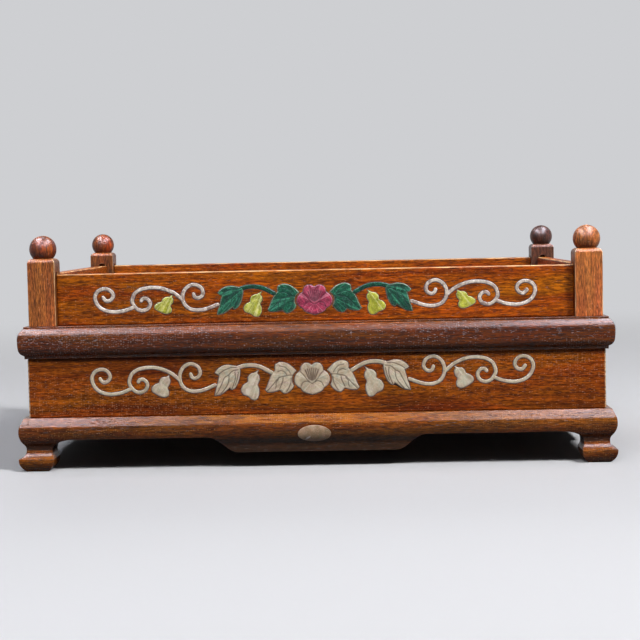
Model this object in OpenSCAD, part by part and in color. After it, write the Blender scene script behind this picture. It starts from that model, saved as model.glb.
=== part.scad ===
// Inlaid tray box: a railed tray that lifts off a low box on moulded feet.
// Millimetres, +Z up, standing on Z = 0, with the front towards -Y.

/* [Box] */
// Width over the lower walls, left to right
box_w = 349; // [335:1:420]
// Depth over the lower walls, front to back
box_d = 235; // [220:1:320]
// Height of wall that shows between the two mouldings
wall_h = 36; // [35:0.2:60]
// Thickness of the four walls
wall_t = 12; // [10:0.5:14]
// Width and height of the tongue along the walls' lower edge
wall_tongue = 4; // [3:0.5:5]
// Thickness of the box floor
floor_t = 5; // [3:0.5:8]
// Height of the box floor's underside above the base
floor_rise = 3; // [2:0.5:8]
// Depth of the groove in the walls that holds the box floor
floor_groove = 5; // [3:0.5:6]

/* [Base] */
// Height of the base moulding above its straight lower edge
base_h = 13.1; // [12.8:0.1:14]
// How far the bulge of the base stands out from the walls
base_out = 5.8; // [5:0.1:8]
// How far the base reaches in behind the walls' outer faces
base_in = 14; // [13:0.5:20]
// Radius of the bulge above its nose
bulge_top_r = 18; // [14:1:30]
// Radius of the bulge below its nose
bulge_r = 11; // [10:0.1:12]
// Angle through which the bulge turns under before the cove
bulge_turn = 42; // [40:1:47]
// Radius of the cove that leads into the apron
cove_r = 4.4; // [4:0.1:5.4]
// Depth of the bulge's nose below the top of the base
bulge_drop = 8.7; // [8:0.1:9]
// Width of the flat ledge on top of the base
ledge_w = 3; // [1:0.1:4]
// Height of the chamfer below that ledge
chamfer_h = 4.9; // [3:0.1:5.4]
// How far the corners of the apron reach below its straight edge
ear_h = 6.6; // [5:0.1:7.5]
// Width of the curve that leads from that edge down to each corner
ear_w = 13; // [8:1:16]
// How far the middle of the apron hangs below its straight edge
drop_h = 9.7; // [9:0.1:11]
// Width of the hanging middle on the long sides
drop_w_long = 96; // [70:1:120]
// Width of the hanging middle on the short sides
drop_w_short = 62; // [40:1:80]
// Width of the S-curve at each end of the hanging middle
sweep_w = 18; // [10:1:22]

/* [Feet] */
// Height of a foot below the apron
foot_h = 12.7; // [12:0.1:20]
// Width of a foot at its neck
foot_neck = 15.6; // [14:0.1:16]
// How far the lip stands out from the neck on the two outer sides
foot_out = 4.2; // [4:0.1:6]
// How far the lip stands out from the neck on the two inner sides
foot_back = 1.4; // [1.2:0.1:3]
// Width of the sole
foot_sole = 13.4; // [13:0.1:15]
// How far the sole sits outwards from the middle of the neck
sole_shift = 1.3; // [0:0.1:1.6]
// Height of the lip above the sole
lip_z = 7.6; // [5:0.1:9]
// Height of the lip's upright edge
lip_edge = 0.6; // [0.2:0.1:1.2]
// Width of the square tenon on top of a foot
foot_tenon = 7; // [5:0.5:9]
// Length of that tenon
foot_tenon_l = 8; // [5:0.5:10]

/* [Tray frame] */
// Height of the tray's frame moulding
frame_h = 19.4; // [18:0.2:24]
// How far the nose of the frame stands out from the walls
frame_out = 5; // [4:0.1:8]
// How far the frame reaches in behind the walls' outer faces
frame_in = 24; // [22:0.5:34]
// Height of the fillet below the nose
fillet_h = 1.4; // [1:0.1:3]
// How far that fillet stands out from the walls
fillet_out = 1.5; // [1:0.1:2.5]
// Radius of the nose's nearly flat front
nose_r = 30; // [24:1:60]
// Radius of the nose's upper round
nose_top_r = 6.5; // [5:0.1:7.5]
// Angle at which that round begins below the cap
nose_open = 55; // [45:1:65]
// Radius of the nose's lower round
nose_low_r = 5; // [3:0.1:6]
// Depth of the nose's widest line below the top of the frame
nose_drop = 9.4; // [9:0.1:10.6]
// Height of the cap, a thin fillet on top of the nose
cap_h = 1.4; // [1:0.1:2]
// How far the cap stands back from the nose
cap_step = 0.4; // [0.4:0.1:1.2]
// Thickness of the tray's floor panel
panel_t = 7.6; // [6:0.1:9]
// How far the panel lies below the frame's top
panel_drop = 0.4; // [0:0.1:2]
// Thickness of the tongue round the panel
panel_tongue = 4; // [3:0.1:5]
// Length of that tongue
panel_tongue_l = 6; // [4:0.5:8]
// Width of the two battens under the panel
batten_w = 16; // [12:1:24]
// Height of a batten
batten_h = 8.6; // [6:0.1:9.6]
// Distance of each batten from the middle
batten_x = 75; // [50:1:100]
// Length of a batten's end in the frame
batten_tenon = 6; // [4:0.5:9]
// Height of the strips that locate the tray in the box
lip_h = 8; // [5:0.5:12]
// Thickness of those strips
lip_t = 6; // [4:0.5:8]
// Room between the strips and the walls
lip_gap = 0.5; // [0.3:0.1:1]

/* [Rails and posts] */
// Width of the square corner posts
post_w = 16.7; // [14:0.1:18]
// Height of a post above the frame
post_h = 41; // [36:0.5:60]
// How far a post's outer faces stand in from the walls' faces
post_in = 1.15; // [0.5:0.05:3]
// Radius of the round along a post's top edges
post_round = 2.8; // [1:0.1:4]
// Width of the square tenon under a post
post_tenon = 9; // [6:0.5:11]
// Length of that tenon
post_tenon_l = 12; // [8:0.5:15]
// Height of the rails
rail_h = 31.2; // [29:0.2:34]
// Thickness of the rails
rail_t = 7.5; // [6:0.1:10]
// Radius of the round along a rail's top edges
rail_round = 1; // [0.4:0.1:1.2]
// Thickness of the tongue at each end of a rail
rail_tongue = 5; // [3:0.1:6]
// Length of that tongue
rail_tongue_l = 4.5; // [3:0.1:5]
// How far the round end of a post's groove runs on above the rail
groove_over = 1.8; // [1:0.1:3]
// Diameter of the ball finials
ball_d = 16.4; // [14:0.1:18]
// Height of a ball's centre above the post
ball_rise = 5.7; // [4:0.1:6.6]
// Diameter of the dowel under a ball
dowel_d = 5; // [4:0.5:6]
// Length of that dowel
dowel_l = 9; // [6:0.5:12]

/* [Inlay] */
// Thickness of the shell
shell_t = 1.5; // [1:0.1:2.5]
// How far the shell stands proud of the wood
shell_proud = 0.3; // [0:0.05:0.6]
// Room between the shell and its pocket
shell_gap = 0.1; // [0.05:0.05:0.3]
// Length of the long design over its outer scrolls
design_l = 268.6; // [230:0.1:285]
// Width of the scrolls
scroll_w = 2; // [1.4:0.1:2.4]
// Width of the stems that join the leaves
stem_w = 2.3; // [1.6:0.1:2.6]
// Height of the upper design's middle above the frame
upper_mid = 14; // [12:0.5:18]
// Height of the lower design's middle above the base
lower_mid = 22; // [14:0.1:24]
// How much taller the lower design is than the upper one
lower_stretch = 1.08; // [1:0.01:1.1]
// How much longer its gourds are besides
gourd_stretch = 1.12; // [1:0.01:1.12]
// How far the lower front design sits off the middle
front_shift = -2.3; // [-4:0.1:4]
// Angle by which the lower front design is set askew
front_turn = 0.8; // [-1:0.1:1]
// Length of the oval plaque
plaque_l = 20; // [14:0.5:30]
// Height of the oval plaque
plaque_h = 10.5; // [8:0.5:12]
// Height of the plaque's middle below the bulge's nose
plaque_drop = 3.2; // [1:0.1:3.6]
// How far the plaque sits off the middle
plaque_shift = -1.4; // [-4:0.1:4]
// Depth of the plaque's seat below the bulge
plaque_seat = 2.2; // [2:0.1:3]

/* [Fits] */
// Room round tenons and tongues
joint_gap = 0.1; // [0.05:0.05:0.3]
// Room for the floor panels to swell
panel_gap = 0.5; // [0.2:0.1:1]

/* [Hidden] */
$fn = 48;
SIDES = ["front", "right", "back", "left"];
CORNERS = ["front_right", "back_right", "back_left", "front_left"];
PER_SIDE = ["wall", "base", "tray_frame", "lip_strip", "rail"];
PER_CORNER = ["foot", "post", "finial"];
UPPER_INLAY = ["upper_scrolls", "upper_leaves", "upper_gourds", "upper_flower"];

// Wood and shell colours
DARK_WOOD = [0.26, 0.13, 0.08];
WALL_WOOD = [0.47, 0.22, 0.09];
BASE_WOOD = [0.42, 0.20, 0.08];
POST_WOOD = [0.48, 0.25, 0.12];
FLOOR_WOOD = [0.40, 0.21, 0.10];
WHITE_SHELL = [0.86, 0.80, 0.76];
PALE_SHELL = [0.74, 0.70, 0.62];
LEAF_SHELL = [0.08, 0.35, 0.27];
GOURD_SHELL = [0.72, 0.74, 0.30];
FLOWER_SHELL = [0.62, 0.17, 0.28];

// Heights of the main seams above the surface that the box stands on
z_edge = foot_h + ear_h;
z_base = z_edge + base_h;
z_floor = z_base + floor_rise;
z_tray = z_base + wall_h;
z_rail = z_tray + frame_h;
z_panel = z_rail - panel_drop - panel_t;
z_drop = z_edge - drop_h;
// A little more than a cut needs, so that it runs clear of the face
over = 1;

// Half the length of side i, and its distance from the middle, at the walls' outer faces
function half_run(i) = (i % 2 == 0 ? box_w : box_d) / 2;
function half_out(i) = (i % 2 == 0 ? box_d : box_w) / 2;

// Points of an arc, both ends included
function arc(c, r, from, to, steps) =
    [for (k = [0:steps]) let (a = from + (to - from) * k / steps) c + r * [cos(a), sin(a)]];
// A run of points without the first, for a run that goes on from the one before it
function onward(p) = [for (k = [1:len(p) - 1]) p[k]];

// Point between q and r on a smooth curve that runs p, q, r, s
function between(p, q, r, s, t) =
    0.5 * (2 * q + (r - p) * t + (2 * p - 5 * q + 4 * r - s) * t * t + (3 * q - p - 3 * r + s) * t * t * t);

// Smooth open curve through hand-set points, with its last point left to the next curve
function run_through(p, steps = 2) =
    let (last = len(p) - 1)
    [for (i = [0:last - 1], k = [0:steps - 1])
        between(p[max(i - 1, 0)], p[i], p[i + 1], p[min(i + 2, last)], k / steps)];

// Closed outline of curves that meet at sharp points
function outline(curves) = [for (c = curves) each run_through(sized(c))];

// Direction of a curve at point i
function heading(c, i) =
    let (d = c[min(i + 1, len(c) - 1)] - c[max(i - 1, 0)]) d / norm(d);
function left_of(d) = [-d[1], d[0]];

// Ribbon of width w along hand-set points, with round ends
function ribbon(p, w) =
    let (c = concat(run_through(p), [p[len(p) - 1]]), last = len(c) - 1, h = w / 2,
         start = heading(c, 0), stop = heading(c, last))
    concat(
        [for (i = [0:last]) c[i] + h * left_of(heading(c, i))],
        [for (a = [60, 0, -60]) c[last] + h * (cos(a) * stop + sin(a) * left_of(stop))],
        [for (i = [last:-1:0]) c[i] - h * left_of(heading(c, i))],
        [for (a = [-60, 0, 60]) c[0] + h * (sin(a) * left_of(start) - cos(a) * start)]);

// Outline with every point moved out by d
function turning(p) = let (m = len(p))
    [for (i = [0:m - 1]) p[i][0] * p[(i + 1) % m][1] - p[i][1] * p[(i + 1) % m][0]] * [for (q = p) 1];
function grown(p, d) =
    let (m = len(p), s = turning(p) > 0 ? d : -d)
    [for (i = [0:m - 1]) p[i] - s * left_of((p[(i + 1) % m] - p[(i + m - 1) % m])
        / norm(p[(i + 1) % m] - p[(i + m - 1) % m]))];

function flipped(p, s) = [for (q = p) [s * q[0], q[1]]];

// The right half of the inlay, about the middle of the design, drawn for the usual length of the design
DRAWN_L = 268.6;
function sized(p) = design_l / DRAWN_L * p;
// Scrolls: the inner one by the leaves, the middle one and the outer one
SCROLL_INNER = sized([[73.3, 3.8], [72.6, 2.1], [71, 1.3], [68.7, 2.1], [67.5, 4.5], [68.6, 7.5],
    [71.2, 9.1], [74.2, 9.4], [77.4, 7.8], [79.4, 5.1], [80, 2.1], [79.4, -1.2], [77.3, -4.1],
    [74, -5.7], [70, -6], [65.3, -5.2], [59.2, -2.96]]);
SCROLL_MIDDLE = sized([[105.3, 0.2], [104.2, 1.5], [102, 1.5], [100.1, -0.3], [99.9, -2.5], [101.3, -4.6],
    [104.3, -5.7], [107.3, -5], [109.3, -3.1], [110.7, -0.5], [110.3, 2.3], [108.7, 5.1], [105.4, 7.1],
    [101.3, 8], [96.7, 8.2], [92.7, 7.6], [88.7, 6.3], [85.3, 4.7], [82.7, 2.8], [80.3, 0.8]]);
SCROLL_OUTER = sized([[128.4, 2.7], [127.2, 1.1], [125.8, 0.5], [123.6, 1.3], [122.3, 3.5], [123, 5.9],
    [125.6, 7.7], [128.8, 7.8], [131.8, 6.3], [133.3, 3.3], [132.8, 0.1], [130.7, -3.1], [127.2, -5.2],
    [122.7, -6.2], [118.7, -6], [114.7, -5.3], [110.2, -3.6]]);
// Stem that arches from leaf to leaf
STEM = sized([[45.5, 6.2], [40.5, 7.5], [36, 7.6], [32, 6.9], [28.5, 5.4], [23.5, 2.8]]);
// Leaf by the flower and leaf by the scroll, each as curves from one sharp point to the next
LEAF_INNER = outline([
    [[22.2, 4.4], [22.3, 6], [21.9, 7.7]],
    [[21.9, 7.7], [19.2, 8.8], [16, 8.5], [12.8, 6.9], [9.3, 3.7]],
    [[9.3, 3.7], [11.6, 1.2], [12.1, -1.8], [11.1, -4.7]],
    [[11.1, -4.7], [12.2, -6.3], [14.2, -8], [17.2, -8.8], [19.6, -6.7]],
    [[19.6, -6.7], [23.2, -7.7], [26.8, -7.8], [28.4, -6.5]],
    [[28.4, -6.5], [27.3, -4.3], [25.7, -0.7], [24.4, 1.9], [22.2, 4.4]]]);
LEAF_OUTER = outline([
    [[56, 2.6], [57.4, 3.1], [58.6, 4.1]],
    [[58.6, 4.1], [57, 6], [54, 7.7], [50.5, 8.3], [46.7, 7.6], [43.6, 7]],
    [[43.6, 7], [43.2, 5], [43.7, 1.7], [44.8, -1.9], [46.6, -4.7], [48.6, -5.9]],
    [[48.6, -5.9], [49.4, -5.3], [49.8, -4.5]],
    [[49.8, -4.5], [52.2, -6.3], [55.4, -8.3], [59.2, -8.9]],
    [[59.2, -8.9], [58.7, -6.4], [57.7, -3.6], [56.9, -0.6], [56, 2.6]]]);
// Gourd between the leaves and gourd under the scroll, each from the tip of its stalk
GOURD_INNER = outline([[[31.9, 4.5], [33.6, 3.5], [35.2, 2.9], [37.2, 2.4], [38.8, 0.7], [39, -1.5],
    [41.6, -2.9], [43.1, -5.3], [42, -7.7], [39, -8.8], [36.6, -10.4], [34, -10.5], [32.4, -8.1],
    [32.2, -5.1], [33, -3.1], [31.7, -0.7], [31.9, 1.5], [32.9, 2.7], [31.9, 4.5]]]);
GOURD_OUTER = outline([[[86.2, 3.3], [88, 2.4], [90.5, 2.2], [92.2, 0.9], [92.8, -0.5], [95.2, -1.3],
    [97.2, -2.9], [97, -4.8], [94.6, -6.3], [91.8, -7.6], [89.2, -7.9], [87.2, -6.9], [86.9, -4.9],
    [87.6, -3.1], [86.2, -1.3], [85.8, 0.7], [86.4, 1.9], [86.2, 3.3]]]);
// Right half of the flower: an upper petal, a side petal and half of the lower one
PETALS = [
    [[0, 6.7], [2.2, 7.9], [4.6, 7.7], [6.4, 6.1], [6.9, 3.8]],
    [[6.9, 3.8], [9.6, 1.7], [10.8, -1.3], [9.7, -4.3], [7, -6.2]],
    [[7, -6.2], [6, -7.7], [3.4, -9], [0, -9.9]]];
FLOWER_HALF = outline(PETALS);
FLOWER = concat(FLOWER_HALF, sized([[0, -9.9]]),
    [for (k = [len(FLOWER_HALF) - 1:-1:1]) [-FLOWER_HALF[k][0], FLOWER_HALF[k][1]]]);

// Puts a piece drawn for the front on side i: X along the wall, Y = 0 at the wall's outer face
module on_side(i) rotate(90 * i) translate([0, -half_out(i), 0]) children();

// Puts a piece drawn for the corner at +X, +Y on corner k
module on_corner(k) {
    mirror([k > 1 ? 1 : 0, 0, 0]) mirror([0, k % 3 == 0 ? 1 : 0, 0])
        translate([box_w / 2, box_d / 2, 0]) children();
}

// Bar along side i with a section given as (distance out from the wall face, height), mitred at its ends
module mitred_bar(i, section) {
    outer = max([for (p = section) p[0]]);
    inner = min([for (p = section) p[0]]);
    top = max([for (p = section) p[1]]);
    run = half_run(i);
    intersection() {
        rotate([90, 0, 90]) linear_extrude(2 * (run + outer), center = true)
            polygon([for (p = section) [-p[0], p[1]]]);
        linear_extrude(top + over)
            polygon([[-run - outer, -outer], [run + outer, -outer],
                [run + inner, -inner], [-run - inner, -inner]]);
    }
}

// Prism with an upright outline, from depth behind the plane Y = face to proud in front of it
module upright(face, depth, proud) {
    translate([0, face + depth, 0]) rotate([90, 0, 0]) linear_extrude(depth + proud) children();
}

// Outlines of the inlay, each stretched upright by s and grown by d for its pocket;
// the short sides have the inner scroll alone
function both(outlines) = [for (s = [-1, 1], p = outlines) flipped(p, s)];
function taller(p, s) = [for (q = p) [q[0], s * q[1]]];
function scroll_outlines(i, d, s) = both([
    for (c = i % 2 == 0 ? [SCROLL_INNER, SCROLL_MIDDLE, SCROLL_OUTER] : [SCROLL_INNER])
        ribbon(taller(c, s), scroll_w + 2 * d)]);
function leaf_outlines(d, s) = both([
    grown(taller(LEAF_INNER, s), d), ribbon(taller(STEM, s), stem_w + 2 * d),
    grown(taller(LEAF_OUTER, s), d)]);
function gourd_outlines(i, d, s) = both([
    for (p = i % 2 == 0 ? [GOURD_INNER, GOURD_OUTER] : [GOURD_INNER]) grown(taller(p, s), d)]);
function flower_outlines(d, s) = [grown(taller(FLOWER, s), d)];
function inlay_outlines(i, d, s, gourd_s) = concat(
    scroll_outlines(i, d, s), leaf_outlines(d, s), gourd_outlines(i, d, gourd_s), flower_outlines(d, s));
function upper_outlines(i, d) = inlay_outlines(i, d, 1, 1);
function lower_outlines(i, d) = inlay_outlines(i, d, lower_stretch, lower_stretch * gourd_stretch);

// Places of the two designs on side i
module at_upper() translate([0, z_rail + upper_mid]) children();
module at_lower(i) {
    translate([i == 0 ? front_shift : 0, z_base + lower_mid]) rotate(i == 0 ? front_turn : 0) children();
}

// Shell set into an upright face, and the pocket that it fills
shell_depth = shell_t - shell_proud;
module shell(face) upright(face, shell_depth, shell_proud) children();
module pocket(face) upright(face, shell_depth, over) children();

// Face of the base, from the chamfer down: the bulge, flatter above its nose, and the cove below it
bulge_top_c = [base_out - bulge_top_r, z_base - bulge_drop];
bulge_c = [base_out - bulge_r, z_base - bulge_drop];
cove_c = bulge_c + (bulge_r + cove_r) * [cos(bulge_turn), -sin(bulge_turn)];
base_face = concat(
    arc(bulge_top_c, bulge_top_r, asin((bulge_drop - chamfer_h) / bulge_top_r), 0, 4),
    onward(arc(bulge_c, bulge_r, 0, -bulge_turn, 7)),
    onward(arc(cove_c, cove_r, 180 - bulge_turn, 180, 6)));

// Feet: square blocks, moulded more boldly on the two outer sides than on the inner ones
foot_seat = cove_c[0] - sqrt(cove_r * cove_r - pow(max(foot_h - cove_c[1], 0), 2));
scoop_h = foot_h - lip_z - lip_edge / 2;
round_h = lip_z - lip_edge / 2;
function radius_over(w, h) = (w * w + h * h) / (2 * w);
function foot_half(reach, sole) =
    let (scoop_r = radius_over(reach, scoop_h),
         round_r = radius_over(foot_neck / 2 + reach - sole, round_h))
    concat(
        arc([foot_neck / 2 + reach - round_r, round_h], round_r, -asin(round_h / round_r), 0, 6),
        arc([foot_neck / 2 + scoop_r, foot_h], scoop_r, 180 + asin(scoop_h / scoop_r), 180, 6));
foot_outer = foot_half(foot_out, foot_sole / 2 + sole_shift);
foot_inner = foot_half(foot_back, foot_sole / 2 - sole_shift);
foot_section = concat(foot_outer,
    [for (k = [len(foot_inner) - 1:-1:0]) [-foot_inner[k][0], foot_inner[k][1]]]);
foot_over = foot_neck + 2 * foot_out;

module foot_place() translate([foot_seat - foot_neck / 2, foot_seat - foot_neck / 2, 0]) children();
module foot_tenon_block(d) {
    translate([0, 0, foot_h + foot_tenon_l / 2 + d / 2])
        cube([foot_tenon + 2 * d, foot_tenon + 2 * d, foot_tenon_l + d], center = true);
}
module foot(k) {
    color(BASE_WOOD) on_corner(k) foot_place() {
        intersection() {
            rotate([90, 0, 0]) linear_extrude(foot_over, center = true) polygon(foot_section);
            rotate([90, 0, 90]) linear_extrude(foot_over, center = true) polygon(foot_section);
        }
        foot_tenon_block(0);
    }
}

// Base: a bulging apron with a hanging middle, eared at the corners
tongue_mid = -wall_t / 2;
base_section = concat(
    [[-base_in, z_base],
     [tongue_mid - wall_tongue / 2 - joint_gap, z_base],
     [tongue_mid - wall_tongue / 2 - joint_gap, z_base - wall_tongue - joint_gap],
     [tongue_mid + wall_tongue / 2 + joint_gap, z_base - wall_tongue - joint_gap],
     [tongue_mid + wall_tongue / 2 + joint_gap, z_base],
     [ledge_w, z_base]],
    base_face,
    [[cove_c[0] - cove_r, z_drop], [-base_in, z_drop]]);

// Lower edge of the apron on side i, from the right ear to the middle
function drop_half(i) = (i % 2 == 0 ? drop_w_long : drop_w_short) / 2;
function apron_edge(i) =
    let (ear_x = half_run(i) + foot_seat - foot_neck)
    concat(
        [[half_run(i) + base_out + over, foot_h]],
        [for (a = [0:15:90]) [ear_x - ear_w * (1 - cos(a)), foot_h + ear_h * sin(a)]],
        [for (t = [0:0.1:1])
            [drop_half(i) + sweep_w * (1 - t), z_edge - drop_h * (1 - cos(180 * t)) / 2]]);
function apron_outline(i) =
    let (e = apron_edge(i), w = half_run(i) + base_out + over)
    concat([[-w, z_base + over], [w, z_base + over]], e,
        [for (k = [len(e) - 1:-1:0]) [-e[k][0], e[k][1]]]);

module base(i) {
    color(BASE_WOOD) difference() {
        on_side(i) intersection() {
            mitred_bar(i, base_section);
            upright(-base_out - over, base_out + base_in + 2 * over, 0) polygon(apron_outline(i));
        }
        for (k = [0:3]) on_corner(k) foot_place() foot_tenon_block(joint_gap);
        if (i == 0) on_side(i) plaque_place() plaque_prism(shell_gap, bulge_r);
    }
}

// Oval plaque: its face follows the bulge, and its back lies flat in its seat
plaque_tilt = asin(plaque_drop / bulge_r);
module plaque_place() {
    translate([plaque_shift, -bulge_c[0], bulge_c[1]]) rotate([90 + plaque_tilt, 0, 0]) children();
}
module plaque_prism(d, reach) {
    translate([0, 0, bulge_r - plaque_seat]) linear_extrude(reach)
        polygon([for (a = [0:10:350]) [(plaque_l / 2 + d) * cos(a), (plaque_h / 2 + d) * sin(a)]]);
}
module oval_plaque() {
    color(PALE_SHELL) on_side(0) plaque_place() intersection() {
        plaque_prism(0, plaque_seat + shell_proud);
        rotate([0, 90, 0]) cylinder(r = bulge_r + shell_proud, h = plaque_l + over, center = true);
    }
}

// Walls: mitred boards, tongued into the base and grooved for the floor
wall_section = [
    [0, z_base], [0, z_tray], [-wall_t, z_tray],
    [-wall_t, z_floor + floor_t + joint_gap], [floor_groove - wall_t, z_floor + floor_t + joint_gap],
    [floor_groove - wall_t, z_floor], [-wall_t, z_floor], [-wall_t, z_base],
    [tongue_mid - wall_tongue / 2, z_base], [tongue_mid - wall_tongue / 2, z_base - wall_tongue],
    [tongue_mid + wall_tongue / 2, z_base - wall_tongue], [tongue_mid + wall_tongue / 2, z_base]];

module wall(i) {
    color(WALL_WOOD) on_side(i) difference() {
        mitred_bar(i, wall_section);
        for (p = lower_outlines(i, shell_gap)) pocket(0) at_lower(i) polygon(p);
    }
}
module lower_inlay(i) {
    color(PALE_SHELL) on_side(i) for (p = lower_outlines(i, 0)) shell(0) at_lower(i) polygon(p);
}

module box_floor() {
    inset = wall_t - floor_groove + panel_gap;
    color(FLOOR_WOOD) translate([0, 0, z_floor + floor_t / 2])
        cube([box_w - 2 * inset, box_d - 2 * inset, floor_t], center = true);
}

// Tray frame: mitred mouldings with a cap on a rounded nose, grooved for the panel
nose_c = [frame_out - nose_r, z_rail - nose_drop];
nose_top_a = asin((nose_drop - cap_h - nose_top_r * sin(nose_open)) / (nose_r - nose_top_r));
nose_low_a = asin((frame_h - fillet_h - nose_low_r - nose_drop) / (nose_r - nose_low_r));
nose_low_c = nose_c + (nose_r - nose_low_r) * [cos(nose_low_a), -sin(nose_low_a)];
nose_line = concat(
    arc(nose_c + (nose_r - nose_top_r) * [cos(nose_top_a), sin(nose_top_a)], nose_top_r,
        nose_open, nose_top_a, 6),
    onward(arc(nose_c, nose_r, nose_top_a, -nose_low_a, 4)),
    onward(arc(nose_low_c, nose_low_r, -nose_low_a, -acos((fillet_out - nose_low_c[0]) / nose_low_r), 6)));
cap_u = nose_line[0][0] - cap_step;
z_tongue = z_panel + (panel_t - panel_tongue) / 2;
groove_l = panel_tongue_l + panel_gap;
frame_section = concat(
    [[-frame_in, z_rail], [cap_u, z_rail], [cap_u, z_rail - cap_h]], nose_line,
    [[fillet_out, z_tray], [-frame_in, z_tray],
     [-frame_in, z_tongue], [groove_l - frame_in, z_tongue],
     [groove_l - frame_in, z_tongue + panel_tongue + joint_gap],
     [-frame_in, z_tongue + panel_tongue + joint_gap]]);

module tray_frame(i) {
    color(DARK_WOOD) difference() {
        on_side(i) mitred_bar(i, frame_section);
        for (k = [0:3]) on_corner(k) post_place() post_tenon_block(joint_gap);
        for (s = [-1, 1]) batten_bar(s, joint_gap);
    }
}

module tray_panel() {
    width = box_w - 2 * (frame_in + panel_gap);
    depth = box_d - 2 * (frame_in + panel_gap);
    color(FLOOR_WOOD) {
        translate([0, 0, z_panel + panel_t / 2])
            cube([width, depth, panel_t], center = true);
        translate([0, 0, z_tongue + panel_tongue / 2])
            cube([width + 2 * panel_tongue_l, depth + 2 * panel_tongue_l, panel_tongue], center = true);
    }
}

// Battens: bars across the underside of the panel, let into the frame at both ends
module batten_bar(s, d) {
    length = box_d - 2 * frame_in + 2 * batten_tenon;
    translate([s * batten_x, 0, z_panel - batten_h / 2])
        cube([batten_w + 2 * d, length + 2 * d, batten_h + 2 * d], center = true);
}
module batten(s) color(FLOOR_WOOD) batten_bar(s, 0);

// Lip strips: under the frame, just inside the walls
module lip_strip(i) {
    outer = -wall_t - lip_gap;
    color(DARK_WOOD) on_side(i) mitred_bar(i, [[outer, z_tray - lip_h], [outer, z_tray],
        [outer - lip_t, z_tray], [outer - lip_t, z_tray - lip_h]]);
}

// Posts: square, with rounded top edges, a stopped groove for each rail and a hole for the ball's dowel
post_c = -post_in - post_w / 2;
post_section = concat(
    [[-post_w / 2, z_rail], [post_w / 2, z_rail]],
    arc([post_w / 2 - post_round, z_rail + post_h - post_round], post_round, 0, 90, 5),
    arc([post_round - post_w / 2, z_rail + post_h - post_round], post_round, 90, 180, 5));
groove_w = rail_tongue + 2 * joint_gap;
groove_shape = concat(
    [[-groove_w / 2, z_rail - over], [groove_w / 2, z_rail - over]],
    [for (a = [0:20:180]) [groove_w / 2 * cos(a), z_rail + rail_h + joint_gap + groove_over * sin(a)]]);

module post_place() translate([post_c, post_c, 0]) children();
module post_tenon_block(d) {
    translate([0, 0, z_rail - post_tenon_l / 2 - d / 2])
        cube([post_tenon + 2 * d, post_tenon + 2 * d, post_tenon_l + d], center = true);
}
module rail_groove() {
    translate([0, -post_w / 2 + rail_tongue_l + joint_gap, 0]) rotate([90, 0, 0])
        linear_extrude(rail_tongue_l + joint_gap + over) polygon(groove_shape);
}
module post(k) {
    color(POST_WOOD) on_corner(k) post_place() difference() {
        union() {
            difference() {
                intersection() {
                    rotate([90, 0, 0]) linear_extrude(post_w, center = true) polygon(post_section);
                    rotate([90, 0, 90]) linear_extrude(post_w, center = true) polygon(post_section);
                }
                rail_groove();
                mirror([1, -1, 0]) rail_groove();
            }
            post_tenon_block(0);
        }
        translate([0, 0, z_rail + post_h - dowel_l - joint_gap])
            cylinder(d = dowel_d + 2 * joint_gap, h = dowel_l + joint_gap + over);
    }
}

// Ball finials: turned in one with their dowels
module finial(k) {
    color(POST_WOOD) on_corner(k) post_place() translate([0, 0, z_rail + post_h]) {
        difference() {
            translate([0, 0, ball_rise]) sphere(d = ball_d);
            translate([0, 0, -ball_d / 2]) cube(ball_d, center = true);
        }
        translate([0, 0, -dowel_l]) cylinder(d = dowel_d, h = dowel_l + ball_rise);
    }
}

// Rails: boards between the posts with eased top edges, tongued at both ends
rail_face = post_in + (post_w - rail_t) / 2;
rail_section = concat(
    [[-rail_t / 2, z_rail], [rail_t / 2, z_rail]],
    arc([rail_t / 2 - rail_round, z_rail + rail_h - rail_round], rail_round, 0, 90, 4),
    arc([rail_round - rail_t / 2, z_rail + rail_h - rail_round], rail_round, 90, 180, 4));
module rail(i) {
    clear = 2 * (half_run(i) - post_in - post_w);
    color(WALL_WOOD) on_side(i) difference() {
        translate([0, rail_face + rail_t / 2, 0]) {
            rotate([90, 0, 90]) linear_extrude(clear, center = true) polygon(rail_section);
            translate([0, 0, z_rail + rail_h / 2])
                cube([clear + 2 * rail_tongue_l, rail_tongue, rail_h], center = true);
        }
        for (p = upper_outlines(i, shell_gap)) pocket(rail_face) at_upper() polygon(p);
    }
}
module upper_shell(i, outlines) on_side(i) for (p = outlines) shell(rail_face) at_upper() polygon(p);
module upper_scrolls(i) color(WHITE_SHELL) upper_shell(i, scroll_outlines(i, 0, 1));
module upper_leaves(i) color(LEAF_SHELL) upper_shell(i, leaf_outlines(0, 1));
module upper_gourds(i) color(GOURD_SHELL) upper_shell(i, gourd_outlines(i, 0, 1));
module upper_flower(i) color(FLOWER_SHELL) upper_shell(i, flower_outlines(0, 1));

for (i = [0:3]) {
    wall(i);
    base(i);
    tray_frame(i);
    lip_strip(i);
    rail(i);
    foot(i);
    post(i);
    finial(i);
    upper_scrolls(i);
    upper_leaves(i);
    upper_gourds(i);
    upper_flower(i);
    lower_inlay(i);
}
box_floor();
tray_panel();
batten(-1);  // batten_left
batten(1);  // batten_right
oval_plaque();
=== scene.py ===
import math

import bmesh
import bpy
import numpy as np
from mathutils import Matrix, Vector


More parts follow.
